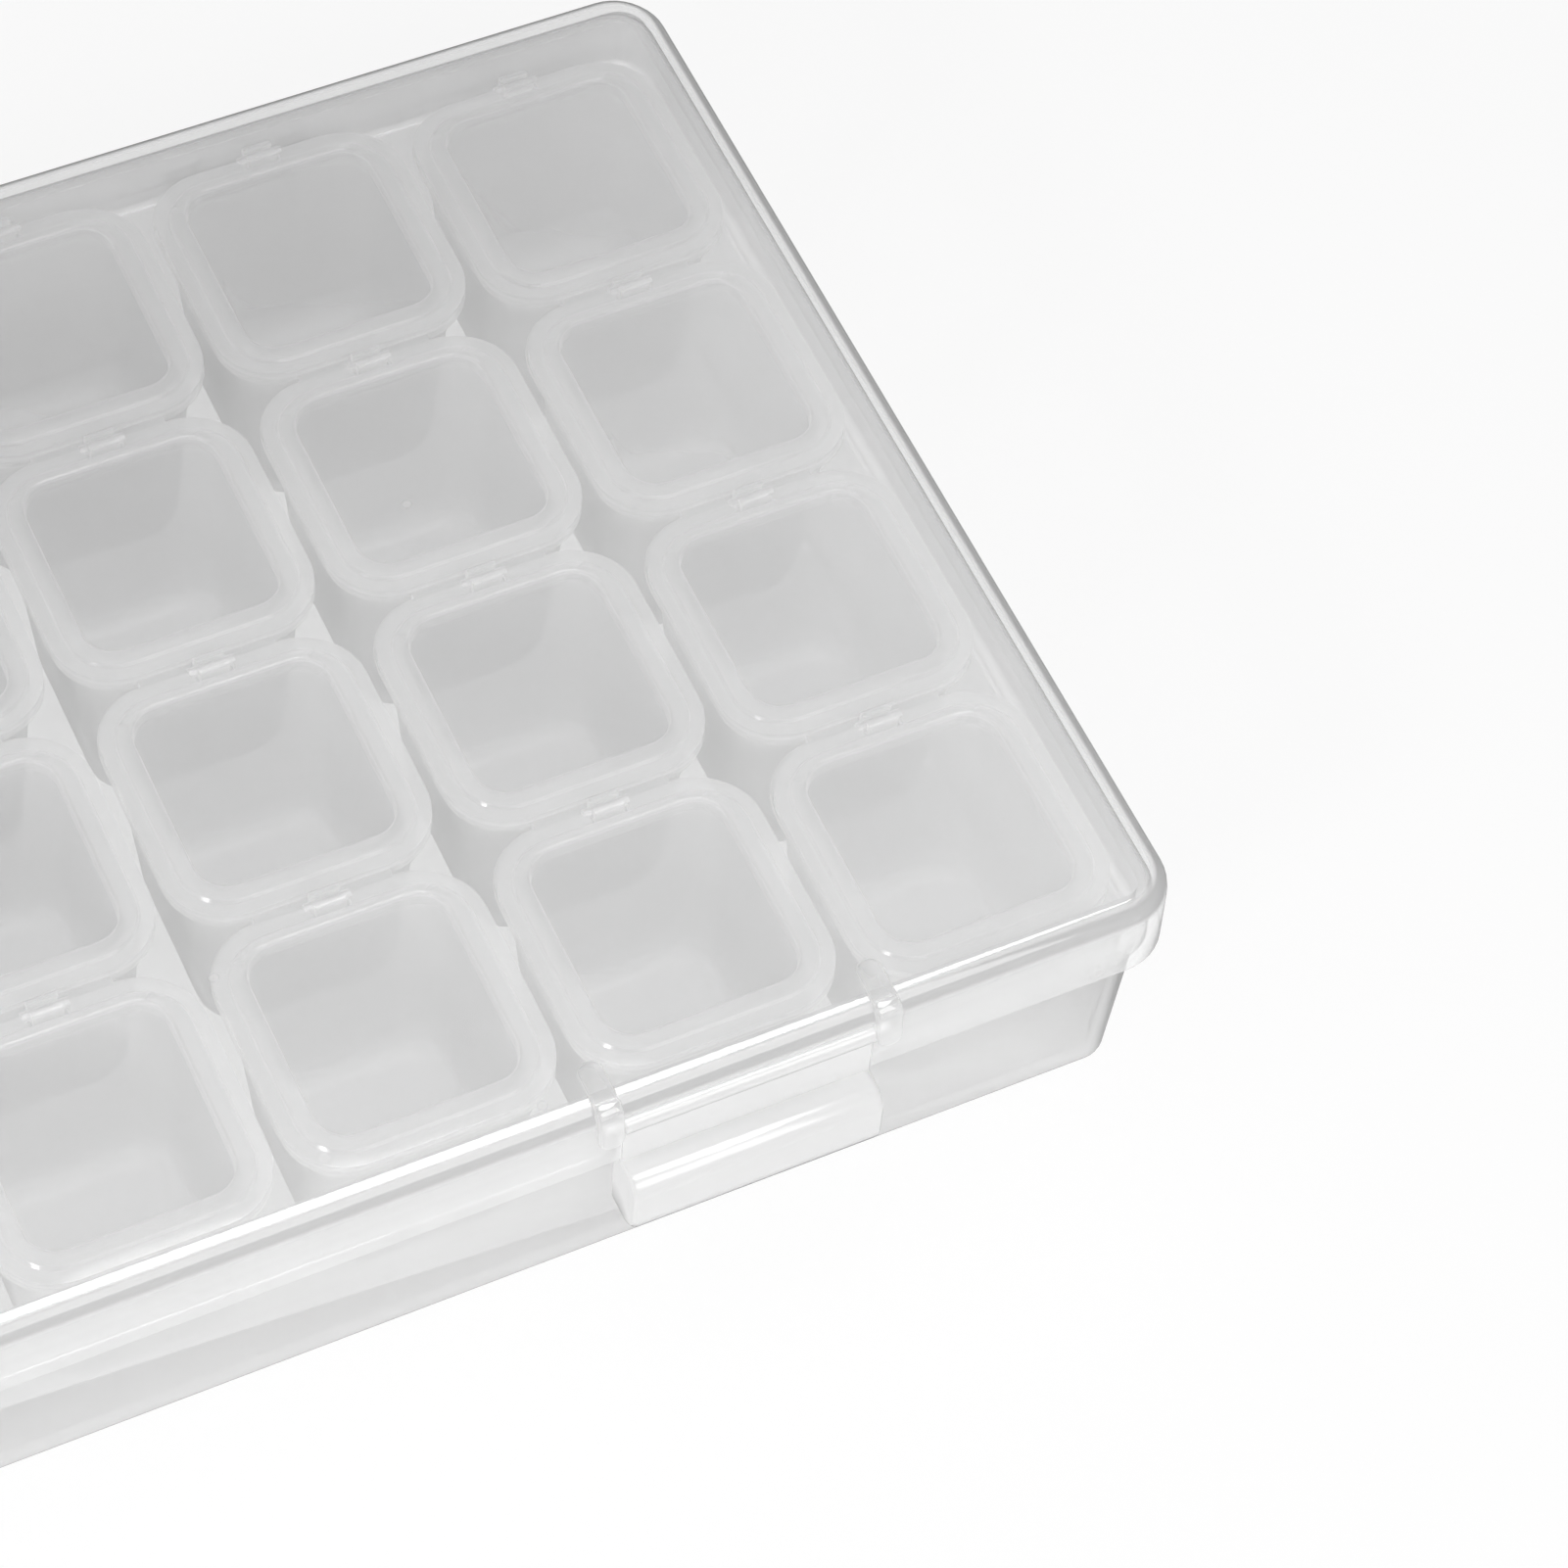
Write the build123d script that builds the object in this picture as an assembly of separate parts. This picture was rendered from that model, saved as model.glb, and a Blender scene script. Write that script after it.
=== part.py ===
from build123d import *
from math import radians, tan

# Bead organizer: a clear hinged case with seven strips of four lidded cups.
# Millimetres. +X right, +Y back, +Z up. Origin at the centre of the tray's underside.

# the case
case_width = 175.0
case_depth = 107.5
case_height = 26.0
corner_radius = 5.0
edge_radius = 2.0
lid_wall = 1.2
skirt_depth = 8.0
skirt_draft = 1.0
inner_bevel = 0.3

# the tray
tray_inset = 2.0
tray_wall = 1.3
tray_floor = 1.2
tray_draft = 2.5
tray_edge = 0.5
rim_clearance = 0.25
rim_draft = 2.0

# the strips of cups
columns = 7
rows = 4
side_play = 0.28
end_play = 0.85
strip_gap = 1.2
cell_gap = 0.6
cell_radius = 5.5
flange_thickness = 1.0
flange_lip = 1.1
cup_wall = 0.8
cup_floor = 0.9
cup_draft = 4.6
cup_edge = 1.4
cup_inner_edge = 0.83
web_width = 10.0
# where each strip has slid to in its end play, from -1 at the front to 1 at the back
strip_slides = (0.1, -0.5, 0.4, -0.2, 0.7, 0.3, -0.8)

# the cell lids
lid_headroom = 1.1
plate_thickness = 1.0
plate_border = 1.15
border_step = 0.25
plug_clearance = 0.25
plug_wall = 0.7
plug_depth = 1.1
plug_draft = 5.0
plug_chamfer = 2.5
panel_radius = 3.2
panel_thickness = 0.8
pin_radius = 0.45
pin_clearance = 0.07
pin_setback = 0.7
clip_radius = 0.9
clip_width = 2.6
clip_mouth = 0.72
notch_clearance = 0.4

# the latches
latch_column = 2
latch_width = 21.6
latch_side_gap = 0.15
latch_plate = 1.05
latch_plate_gap = 0.1
latch_pivot_drop = 3.1
latch_pivot_inset = 0.35
latch_barrel_radius = 0.85
latch_pin_radius = 0.5
latch_pin_length = 1.5
ear_width = 2.2
ear_radius = 1.25
ear_reach = 4.3
ear_rise = 0.4
window_gap = 0.45
grip_width = 22.0
grip_height = 7.4
grip_drop = 8.4
grip_reach = 3.0
grip_corner = 1.8
grip_edge = 1.2
catch_width = 18.0
catch_height = 1.2
catch_drop = 8.8
catch_gap = 0.2
catch_chamfer = 0.4
tooth_height = 1.35
tooth_gap = 0.15
tooth_clearance = 0.14

# the hinge at the back
hinge_column = 2
hinge_radius = 1.8
hinge_offset = 0.6
hinge_skirt_gap = 0.2
hinge_pin_radius = 0.9
hinge_pin_clearance = 0.07
knuckle_length = 8.0
arm_width = 2.5
arm_gap = 0.2
arm_depth = 3.5
gusset_height = 3.5

# levels
skirt_z = case_height - skirt_depth
rim_top = case_height - lid_wall
flange_top = rim_top - lid_headroom - plate_thickness
flange_bottom = flange_top - flange_thickness


def slope(height, draft):
    """How far a drafted wall leans over a height."""
    return height * tan(radians(draft))


# plan sizes, worked inwards from the case
front = -case_depth / 2
back = case_depth / 2
tray_mouth_inset = tray_inset + tray_wall - slope(rim_top - skirt_z, tray_draft)
room_inset = tray_mouth_inset + slope(rim_top - flange_bottom, tray_draft)
room_width = case_width - 2 * room_inset
room_depth = case_depth - 2 * room_inset
pitch_x = (room_width - 2 * side_play + strip_gap) / columns
pitch_y = (room_depth - 2 * end_play + cell_gap) / rows
cell_width = pitch_x - strip_gap
cell_depth = pitch_y - cell_gap
cup_height = flange_top - tray_floor
cup_inner_inset = flange_lip + cup_wall
plug_inset = cup_inner_inset + plug_clearance
panel_inset = plug_inset + plug_wall
pin_y = cell_depth / 2 - pin_setback
pin_z = flange_top + plate_thickness - pin_radius
latch_centres = (-latch_column * pitch_x, latch_column * pitch_x)
hinge_centres = (-hinge_column * pitch_x, hinge_column * pitch_x)
latch_pivot = (front + latch_pivot_inset, case_height - latch_pivot_drop)
hinge_pivot = (back + hinge_offset, skirt_z - hinge_radius - hinge_skirt_gap)


def moulded(inset, radius, start, end, draft, width=case_width, depth=case_depth):
    """A block set in from an outline, with round corners, leaning inwards from one level to another."""
    plan = Pos(0, 0, start) * RectangleRounded(width - 2 * inset, depth - 2 * inset, radius)
    way = 1 if end > start else -1
    return extrude(plan, amount=abs(end - start), dir=(0, 0, way), taper=draft)


def across(profile, centre, length):
    """A profile drawn in Y and Z, run along X about a centre."""
    placed = Plane.YZ.offset(centre - length / 2) * profile
    return extrude(placed, amount=length)


def disc(place, radius):
    return Pos(*place) * Circle(radius)


def rod(place, centre, length, radius):
    return across(disc(place, radius), centre, length)


def block(x, y, z):
    """A box from (low, high) pairs."""
    size = [high - low for low, high in (x, y, z)]
    middle = [(high + low) / 2 for low, high in (x, y, z)]
    return Pos(*middle) * Box(*size)


def make_tray():
    body = moulded(tray_inset, corner_radius - tray_inset, skirt_z, 0, tray_draft)
    body = chamfer(body.faces().sort_by(Axis.Z)[0].edges(), tray_edge)
    rim_inset = lid_wall + rim_clearance
    body += moulded(rim_inset, corner_radius - rim_inset, skirt_z, rim_top, rim_draft)
    mouth_radius = corner_radius - tray_inset - tray_wall / 2
    body -= moulded(tray_mouth_inset, mouth_radius, rim_top, tray_floor, tray_draft)
    catch_top = case_height - catch_drop
    catch_front = front + latch_plate_gap + latch_plate + catch_gap
    for centre in latch_centres:
        span = (centre - catch_width / 2, centre + catch_width / 2)
        wall_front = front + tray_inset + tray_wall / 2
        catch = block(span, (catch_front, wall_front), (catch_top - catch_height, catch_top))
        upper = catch.edges().filter_by(Axis.X).group_by(Axis.Y)[0].sort_by(Axis.Z)[-1]
        body += chamfer(upper, catch_chamfer)
    for centre in hinge_centres:
        body += hinge_arms(centre)
    return body


def hinge_arms(centre):
    """Two bored arms that reach back from the tray's wall to the hinge line."""
    root_y = back - tray_inset - tray_wall / 2
    root_z = hinge_pivot[1] + hinge_radius - arm_depth
    root = Pos(root_y, root_z) * Rectangle(tray_wall / 2, 2 * arm_depth)
    profile = make_hull([*disc(hinge_pivot, hinge_radius).edges(), *root.edges()])
    profile -= disc(hinge_pivot, hinge_pin_radius + hinge_pin_clearance)
    reach = knuckle_length / 2 + arm_gap + arm_width / 2
    return [across(profile, centre + side * reach, arm_width) for side in (-1, 1)]


def make_outer_lid():
    shell = moulded(0, corner_radius, skirt_z, case_height, skirt_draft)
    shell = fillet(shell.faces().sort_by(Axis.Z)[-1].edges(), edge_radius)
    hollow = moulded(lid_wall, corner_radius - lid_wall, skirt_z, rim_top, skirt_draft)
    hollow = chamfer(hollow.faces().sort_by(Axis.Z)[-1].edges(), inner_bevel)
    for centre in latch_centres:
        for side in (-1, 1):
            shell += latch_ear(centre + side * (latch_width + 2 * latch_side_gap + ear_width) / 2)
    shell -= hollow
    for centre in latch_centres:
        shell -= latch_window(centre)
    for centre in hinge_centres:
        shell += lid_knuckle(centre)
    return shell


def latch_ear(centre):
    """A rounded rib over the lid's front edge that carries one end of a latch."""
    top = (front + ear_reach, case_height + ear_rise - ear_radius / 2)
    bend = (front + ear_radius - ear_rise, case_height + ear_rise - ear_radius)
    discs = [disc(top, ear_radius / 2), disc(bend, ear_radius), disc(latch_pivot, ear_radius)]
    profile = make_hull([edge for shape in discs for edge in shape.edges()])
    return across(profile, centre, ear_width)


def latch_window(centre):
    """The gap in the skirt for a latch, with the bores for its pins."""
    half = latch_width / 2 + latch_side_gap
    top = latch_pivot[1] + latch_barrel_radius + window_gap
    inner = front + lid_wall + rim_clearance
    gap = block((centre - half, centre + half), (front - ear_radius, inner), (skirt_z - 1, top))
    pin_reach = latch_width + 2 * (latch_pin_length + latch_side_gap)
    return gap + rod(latch_pivot, centre, pin_reach, latch_pin_radius + pin_clearance)


def lid_knuckle(centre):
    """The barrel under the back skirt, with a pin at each end and a web up the skirt."""
    wall_middle = back - lid_wall / 2
    web = Pos(wall_middle, skirt_z + gusset_height / 2) * Rectangle(lid_wall, gusset_height)
    profile = make_hull([*disc(hinge_pivot, hinge_radius).edges(), *web.edges()])
    pins = rod(hinge_pivot, centre, knuckle_length + 2 * arm_width, hinge_pin_radius)
    return across(profile, centre, knuckle_length) + pins


def make_latch():
    """One latch about x = 0."""
    inner = front + latch_plate_gap + latch_plate
    grip_top = case_height - grip_drop
    grip_bottom = grip_top - grip_height
    body = rod(latch_pivot, 0, latch_width, latch_barrel_radius)
    half = latch_width / 2
    body += block((-half, half), (inner - latch_plate, inner), (grip_top - grip_edge, latch_pivot[1]))
    grip = block((-grip_width / 2, grip_width / 2), (front - grip_reach, inner), (grip_bottom, grip_top))
    uprights = grip.edges().filter_by(Axis.Z).group_by(Axis.Y)[0]
    grip = fillet(uprights, grip_corner)
    ends = [grip.faces().sort_by(Axis.Z)[0], grip.faces().sort_by(Axis.Z)[-1]]
    rims = [edge for face in ends for edge in face.edges() if edge.center().Y < inner - tooth_gap]
    grip = fillet(rims, grip_edge)
    body += grip
    tooth_top = case_height - catch_drop - catch_height - tooth_gap
    tray_face = front + tray_inset + slope(skirt_z - tooth_top, tray_draft)
    span = (-catch_width / 2, catch_width / 2)
    body += block(span, (inner, tray_face - tooth_clearance), (tooth_top - tooth_height, tooth_top))
    pin_reach = latch_width + 2 * latch_pin_length
    return body + rod(latch_pivot, 0, pin_reach, latch_pin_radius)


def make_cup():
    """One open cup with its flange and lid clip, centred on x = y = 0."""
    plan = dict(width=cell_width, depth=cell_depth)
    outside = moulded(flange_lip, cell_radius - flange_lip, flange_top, tray_floor, cup_draft, **plan)
    outside = chamfer(outside.faces().sort_by(Axis.Z)[0].edges(), cup_edge)
    flange = moulded(0, cell_radius, flange_bottom, flange_top, 0, **plan)
    inner_radius = cell_radius - cup_inner_inset
    inner_low = tray_floor + cup_floor
    inside = moulded(cup_inner_inset, inner_radius, flange_top, inner_low, cup_draft, **plan)
    inside = chamfer(inside.faces().sort_by(Axis.Z)[0].edges(), cup_inner_edge)
    return outside + flange - inside + lid_clip()


def lid_clip():
    """The snap-in cradle that holds a cell lid's pin, with lips that lean in over it."""
    bore = pin_radius + pin_clearance
    top = pin_z + clip_radius
    horn = Pos(pin_y, (flange_bottom + top) / 2) * Rectangle(2 * clip_radius, top - flange_bottom)
    mouth = Polygon(
        (pin_y - bore, pin_z),
        (pin_y + bore, pin_z),
        (pin_y + clip_mouth / 2, top),
        (pin_y - clip_mouth / 2, top),
        align=None,
    )
    return across(horn - disc((pin_y, pin_z), bore) - mouth, 0, clip_width)


def make_strip():
    """Four cups in a row, front to back, joined at their flanges."""
    cup = make_cup()
    places = [(row - (rows - 1) / 2) * pitch_y for row in range(rows)]
    cups = [Pos(0, y, 0) * cup for y in places]
    half = web_width / 2
    webs = []
    for y in places[1:]:
        span = (y - pitch_y / 2 - cell_gap, y - pitch_y / 2 + cell_gap)
        webs.append(block((-half, half), span, (flange_bottom, flange_top)))
    return cups[0].fuse(*cups[1:], *webs)


def make_cell_lid():
    """One cell lid: a plate with a sunk panel that plugs the cup, and a pin across a back notch."""
    plate_front = -cell_depth / 2
    middle = (pin_y + plate_front) / 2
    top = flange_top + plate_thickness
    length = pin_y - plate_front
    low = Pos(0, middle, flange_top)
    body = low * extrude(RectangleRounded(cell_width, length, cell_radius), plate_thickness - border_step)
    width = cell_width - 2 * plate_border
    raised = RectangleRounded(width, length - 2 * plate_border, cell_radius - plate_border)
    body += low * extrude(raised, plate_thickness)
    plug = Pos(0, 0, flange_top) * Rectangle(cell_width - 2 * plug_inset, cell_depth - 2 * plug_inset)
    plug = extrude(plug, amount=plug_depth, dir=(0, 0, -1), taper=plug_draft)
    uprights = plug.edges().group_by(Axis.Z)[1]
    body += chamfer(uprights, plug_chamfer)
    panel_top = flange_top - plug_depth + panel_thickness
    plan = dict(width=cell_width, depth=cell_depth)
    body -= moulded(panel_inset, panel_radius, top, panel_top, plug_draft, **plan)
    notch_half = clip_width / 2 + notch_clearance
    notch_front = pin_y - clip_radius - notch_clearance
    body -= block((-notch_half, notch_half), (notch_front, cell_depth), (flange_top, top))
    return body + rod((pin_y, pin_z), 0, 2 * notch_half, pin_radius)


def save(shape, name):
    export_step(shape, f"parts/{name}.step")


def strip_place(column):
    """Where a column's strip stands: its middle, and how far it has slid."""
    x = (column - (columns - 1) / 2) * pitch_x
    return x, strip_slides[column] * end_play


save(make_tray(), "base_tray")
save(make_outer_lid(), "outer_lid")
latch = make_latch()
for side, centre in zip(("left", "right"), latch_centres):
    save(Pos(centre, 0, 0) * latch, f"latch_{side}")
strip = make_strip()
cell_lid = make_cell_lid()
for column in range(columns):
    x, slide = strip_place(column)
    save(Pos(x, slide, 0) * strip, f"strip_{column + 1}")
    for row in range(rows):
        y = (row - (rows - 1) / 2) * pitch_y + slide
        save(Pos(x, y, 0) * cell_lid, f"cell_lid_{column + 1}_{row + 1}")
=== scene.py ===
import math

import bmesh
import bpy
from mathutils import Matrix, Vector


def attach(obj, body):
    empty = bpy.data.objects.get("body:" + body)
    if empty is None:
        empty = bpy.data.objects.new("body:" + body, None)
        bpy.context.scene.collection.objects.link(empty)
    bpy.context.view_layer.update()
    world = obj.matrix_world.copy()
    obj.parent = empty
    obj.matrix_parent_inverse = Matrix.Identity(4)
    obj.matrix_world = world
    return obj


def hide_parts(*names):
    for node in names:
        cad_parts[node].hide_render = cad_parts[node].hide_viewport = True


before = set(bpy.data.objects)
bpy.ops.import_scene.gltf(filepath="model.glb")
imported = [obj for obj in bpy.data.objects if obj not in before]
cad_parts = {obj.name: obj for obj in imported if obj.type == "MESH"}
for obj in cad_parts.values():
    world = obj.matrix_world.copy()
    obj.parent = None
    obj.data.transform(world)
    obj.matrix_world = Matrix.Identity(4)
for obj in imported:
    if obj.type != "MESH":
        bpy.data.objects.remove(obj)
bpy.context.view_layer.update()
mm = 0.001
near = 0.1  # millimetres; when parts of a mesh are picked, places nearer than this are the same
along = 0.9  # an edge or a normal points along an axis when its share on that axis is over this
overcut = 1.0  # millimetres that a cutting tool goes past what it cuts

# The whole case, in millimetres. The pieces share these.
case = {
    "width": 175.0,
    "depth": 107.5,
    "height": 26.0,
    "skirtLevel": 18.0,
    "rimTop": 24.8,
    "flangeTop": 22.7,
    "columns": 7,
    "rows": 4,
    "pitchX": 24.1947,
    "pitchY": 25.0308,
    "cellWidth": 22.9947,
    "cellDepth": 24.4308,
    "slides": (0.1, -0.5, 0.4, -0.2, 0.7, 0.3, -0.8),
    "endPlay": 0.85,
    "pinBack": 11.5154,
    "pinLevel": 23.25,
    "hingeBehind": 0.6,
    "hingeLevel": 16.0,
    "hingeSides": 28,
    "hingePinSides": 20,
    "boreGap": 0.07,
}
frontY = -case["depth"] / 2
backY = case["depth"] / 2
hingeY = backY + case["hingeBehind"]
latchCentres = {"left": -2 * case["pitchX"], "right": 2 * case["pitchX"]}


# tools for modelling by hand

def point(x, y, z):
    return Vector((x, y, z)) * mm


def clearSelection():
    if bpy.context.object and bpy.context.object.mode != "OBJECT":
        bpy.ops.object.mode_set(mode="OBJECT")
    bpy.ops.object.select_all(action="DESELECT")


def selectOnly(piece):
    clearSelection()
    piece.select_set(True)
    bpy.context.view_layer.objects.active = piece


def settle(name, size, place, turn=(0, 0, 0)):
    # gives the new primitive its size and place, and leaves its object at the origin
    piece = bpy.context.object
    piece.name = name
    piece.data.name = name
    piece.scale = Vector(size) * mm
    piece.rotation_euler = [math.radians(a) for a in turn]
    piece.location = point(*place)
    bpy.ops.object.transform_apply(location=True, rotation=True, scale=True)
    return piece


def addPlate(name, width, depth, level, y=0.0):
    clearSelection()
    bpy.ops.mesh.primitive_plane_add(size=1)
    return settle(name, (width, depth, 1), (0, y, level))


def addBlock(name, low, high):
    clearSelection()
    bpy.ops.mesh.primitive_cube_add(size=1)
    size = [b - a for a, b in zip(low, high)]
    return settle(name, size, [(a + b) / 2 for a, b in zip(low, high)])


def addRod(name, place, radius, length, sides):
    # a rod along x
    clearSelection()
    bpy.ops.mesh.primitive_cylinder_add(vertices=sides, radius=1, depth=1)
    return settle(name, (radius, radius, length), place, (0, 90, 0))


def pick(piece, kind, test):
    # selects vertices, edges or faces by a test of their centre, in millimetres, and their normal;
    # for an edge, its direction stands for the normal
    bpy.context.tool_settings.mesh_select_mode = [kind == k for k in ("verts", "edges", "faces")]
    if bpy.context.object is not piece or piece.mode != "EDIT":
        selectOnly(piece)
        bpy.ops.object.mode_set(mode="EDIT")
    bpy.ops.mesh.select_all(action="DESELECT")
    mesh = bmesh.from_edit_mesh(piece.data)
    for element in getattr(mesh, kind):
        if kind == "verts":
            centre, normal = element.co, element.normal
        elif kind == "edges":
            ends = [v.co for v in element.verts]
            centre, normal = (ends[0] + ends[1]) / 2, (ends[1] - ends[0]).normalized()
        else:
            centre, normal = element.calc_center_median(), element.normal
        element.select_set(bool(test(centre / mm, normal)))
    mesh.select_flush_mode()
    bmesh.update_edit_mesh(piece.data)


def pickAll(piece, kind):
    pick(piece, kind, lambda c, n: True)


def leaveEdit():
    bpy.ops.object.mode_set(mode="OBJECT")


def scaleAbout(x, y, centre=(0, 0, 0)):
    bpy.ops.transform.resize(value=(x, y, 1), center_override=point(*centre))


def move(x, y, z):
    bpy.ops.transform.translate(value=point(x, y, z))


def extrudeFaces(z):
    bpy.ops.mesh.extrude_region_move(TRANSFORM_OT_translate={"value": point(0, 0, z)})


def extrudeEdges(z):
    bpy.ops.mesh.extrude_edges_move(TRANSFORM_OT_translate={"value": point(0, 0, z)})


def roundEdges(width, segments):
    bpy.ops.mesh.bevel(offset=width * mm, segments=segments, affect="EDGES")


def roundCorners(width, segments):
    bpy.ops.mesh.bevel(offset=width * mm, segments=segments, affect="VERTICES")


def applied(piece, kind, name, **settings):
    # adds a modifier with these settings and applies it
    selectOnly(piece)
    modifier = piece.modifiers.new(name, kind)
    for key, value in settings.items():
        setattr(modifier, key, value)
    bpy.ops.object.modifier_apply(modifier=name)


def combine(piece, tools, operation):
    for tool in tools:
        applied(piece, "BOOLEAN", "join", operation=operation, object=tool, solver="EXACT")
        bpy.data.objects.remove(tool)


def thicken(piece, thickness):
    # the wall grows inwards
    applied(piece, "SOLIDIFY", "wall", thickness=thickness * mm, offset=-1, use_even_offset=True)


def soften(piece, width, segments, angle):
    applied(piece, "BEVEL", "soften", width=width * mm, segments=segments, limit_method="ANGLE",
            angle_limit=math.radians(angle), harden_normals=False)


def smooth(piece):
    sharpest = 28  # degrees between faces that still look like one surface
    selectOnly(piece)
    bpy.ops.object.shade_smooth_by_angle(angle=math.radians(sharpest))


def tidyMesh(piece):
    weld = 0.002
    pickAll(piece, "verts")
    bpy.ops.mesh.remove_doubles(threshold=weld * mm)
    bpy.ops.mesh.select_all(action="SELECT")
    bpy.ops.mesh.normals_make_consistent(inside=False)
    leaveEdit()


def copyPiece(piece, name, shift):
    made = piece.copy()
    made.data = piece.data.copy()
    made.name = name
    made.data.name = name
    bpy.context.scene.collection.objects.link(made)
    selectOnly(made)
    made.location = point(*shift)
    bpy.ops.object.transform_apply(location=True, rotation=True, scale=True)
    return made


# tools for materials

def setOrLink(links, socket, source):
    # a source is a number or the output of another node
    if isinstance(source, (int, float)):
        socket.default_value = source
    else:
        links.new(source, socket)


def calculate(tree, operation, first, second=None, clamp=False):
    node = tree.nodes.new("ShaderNodeMath")
    node.operation = operation
    node.use_clamp = clamp
    setOrLink(tree.links, node.inputs[0], first)
    if second is not None:
        setOrLink(tree.links, node.inputs[1], second)
    return node.outputs[0]


def ramp(tree, source, fromRange=(0, 1), toRange=(0, 1)):
    # turns the source's range into another, and stays within it
    node = tree.nodes.new("ShaderNodeMapRange")
    node.inputs["From Min"].default_value, node.inputs["From Max"].default_value = fromRange
    node.inputs["To Min"].default_value, node.inputs["To Max"].default_value = toRange
    tree.links.new(source, node.inputs["Value"])
    return node.outputs["Result"]


def blend(tree, share, first, second):
    # mixes two shaders; a share of 1 is all the second
    node = tree.nodes.new("ShaderNodeMixShader")
    setOrLink(tree.links, node.inputs[0], share)
    tree.links.new(first, node.inputs[1])
    tree.links.new(second, node.inputs[2])
    return node.outputs[0]


def mixColors(tree, share, first, second):
    # a color is a tuple or the output of another node
    node = tree.nodes.new("ShaderNodeMix")
    node.data_type = "RGBA"
    for name, color in (("A", first), ("B", second)):
        if isinstance(color, tuple):
            node.inputs[name].default_value = (*color, 1)
        else:
            tree.links.new(color, node.inputs[name])
    tree.links.new(share, node.inputs["Factor"])
    return node.outputs["Result"]


def newGroup(name, inputs, outputs):
    group = bpy.data.node_groups.new(name, "ShaderNodeTree")
    for title in inputs:
        group.interface.new_socket(title, in_out="INPUT", socket_type="NodeSocketFloat")
    for title in outputs:
        group.interface.new_socket(title, in_out="OUTPUT", socket_type="NodeSocketFloat")
    return group, group.nodes.new("NodeGroupInput"), group.nodes.new("NodeGroupOutput")


def useGroup(tree, group, values):
    node = tree.nodes.new("ShaderNodeGroup")
    node.node_tree = group
    for title, value in values.items():
        node.inputs[title].default_value = value
    return node


# the finishes

# what all the plastics share; gloss is its share straight on and at a glancing angle
moulding = {
    "refraction": 1.5,
    "cloudScale": 60.0,
    "cloudDetail": 3.0,
    "speckScale": 55.0,
    "speckSize": (0.030, 0.016),
    "speckStrength": 0.3,
    "speckColor": (0.35, 0.35, 0.35),
    "gloss": (0.045, 0.12),
    "glossPower": 5.0,
}

# where the painted shade of each kind of surface starts and is full, by how far the surface faces up
paintedShadeLevels = {
    "turnAbove": (0.98, 0.86),
    "turnBelow": (0.15, 0.38),
    "wall": (0.7, 0.15),
    "under": (-0.08, -0.24),
}


def makeHaze():
    # faint cloudiness and small specks, as moulded plastic has
    inputs = ("Cloud Scale", "Cloud Amount", "Speck Amount")
    group, given, result = newGroup("mouldedHaze", inputs, ("Cloud", "Speck"))
    nodes, links = group.nodes, group.links
    places = nodes.new("ShaderNodeTexCoord")
    cloud = nodes.new("ShaderNodeTexNoise")
    cloud.inputs["Detail"].default_value = moulding["cloudDetail"]
    links.new(places.outputs["Object"], cloud.inputs["Vector"])
    links.new(given.outputs["Cloud Scale"], cloud.inputs["Scale"])
    centred = calculate(group, "SUBTRACT", cloud.outputs["Fac"], 0.5)
    cloudOut = calculate(group, "MULTIPLY", centred, given.outputs["Cloud Amount"])
    specks = nodes.new("ShaderNodeTexVoronoi")
    specks.inputs["Scale"].default_value = moulding["speckScale"]
    links.new(places.outputs["Object"], specks.inputs["Vector"])
    close = ramp(group, specks.outputs["Distance"], moulding["speckSize"])
    speckOut = calculate(group, "MULTIPLY", close, given.outputs["Speck Amount"])
    links.new(cloudOut, result.inputs["Cloud"])
    links.new(speckOut, result.inputs["Speck"])
    return group


def makePaintedEdgeShade():
    # painted shade: a darker line where an upper edge turns over, standing in for the dark that
    # refraction shows in thick clear edges; painted shade below a lower edge; and upright walls painted
    # a little greyer than level ones, as if they got less light
    inputs = ("Turn Amount", "Wall Amount", "Under Amount")
    group, given, result = newGroup("paintedEdgeShade", inputs, ("Shade",))
    places = group.nodes.new("ShaderNodeTexCoord")
    split = group.nodes.new("ShaderNodeSeparateXYZ")
    group.links.new(places.outputs["Normal"], split.inputs[0])
    level = split.outputs["Z"]
    tilt = calculate(group, "ABSOLUTE", level)
    above = ramp(group, level, paintedShadeLevels["turnAbove"])
    below = ramp(group, level, paintedShadeLevels["turnBelow"])
    # painted shade on turned upper edges, on upright walls and under lower edges
    kinds = {
        "Turn Amount": calculate(group, "MULTIPLY", above, below),
        "Wall Amount": ramp(group, tilt, paintedShadeLevels["wall"]),
        "Under Amount": ramp(group, level, paintedShadeLevels["under"]),
    }
    turn, wall, under = [calculate(group, "MULTIPLY", given.outputs[k], kinds[k]) for k in kinds]
    total = calculate(group, "ADD", calculate(group, "ADD", turn, wall), under)
    group.links.new(total, result.inputs["Shade"])
    return group


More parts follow.
